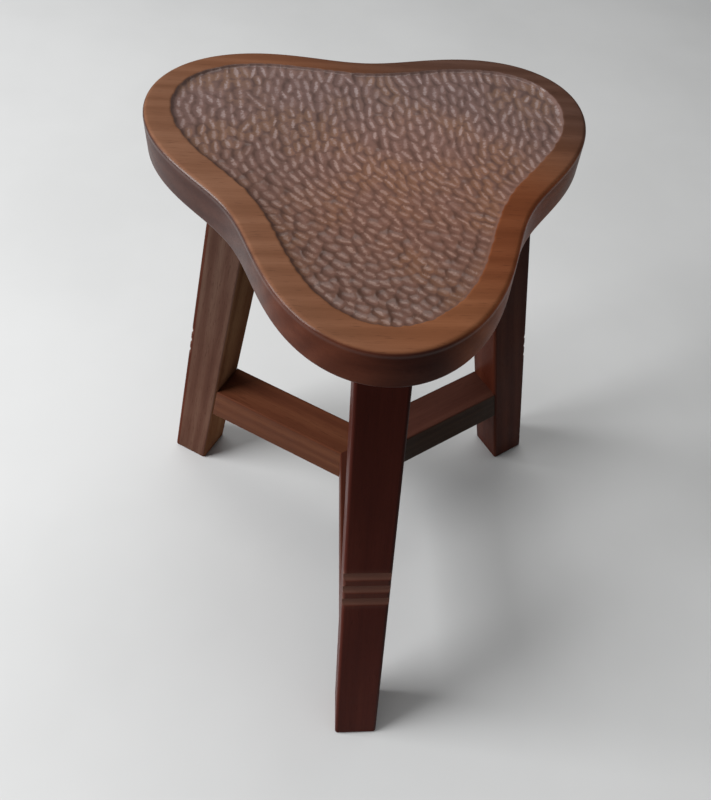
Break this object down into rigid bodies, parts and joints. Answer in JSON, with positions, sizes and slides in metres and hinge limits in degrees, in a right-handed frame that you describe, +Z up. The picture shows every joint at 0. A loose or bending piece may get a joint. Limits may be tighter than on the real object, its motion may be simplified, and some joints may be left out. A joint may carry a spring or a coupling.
{
  "type": "stool",
  "caption": "Low three-legged wooden stool: a thick trefoil seat with a gouge-carved field, splayed square legs with a Y of flat rails between them.",
  "frame": {"origin": "centre of the whole stool's box, on the floor; the stool's own centre line stands 43 mm behind it, because the front foot reaches further out than the back two", "axes": "+Z up, the front leg on -Y, the other two legs towards +X and -X at the back"},
  "size_m": [0.3606, 0.313, 0.45],
  "materials": {
    "seat_wood": "reddish brown hardwood under gloss varnish, with a gouge-carved field",
    "leg_wood": "dark reddish brown hardwood under gloss varnish",
    "rail_wood": "dark reddish brown hardwood under gloss varnish",
    "tongue_wood": "plain hardwood, planed, unvarnished in the joint"
  },
  "bodies": {
    "root": {"seat": "seat_wood", "leg_front": "leg_wood", "rail_front": "rail_wood", "leg_left": "leg_wood", "rail_left": "rail_wood", "leg_right": "leg_wood", "rail_right": "rail_wood", "hub_tongue_back": "tongue_wood", "hub_tongue_front_left": "tongue_wood", "hub_tongue_front_right": "tongue_wood"}
  },
  "joints": []
}
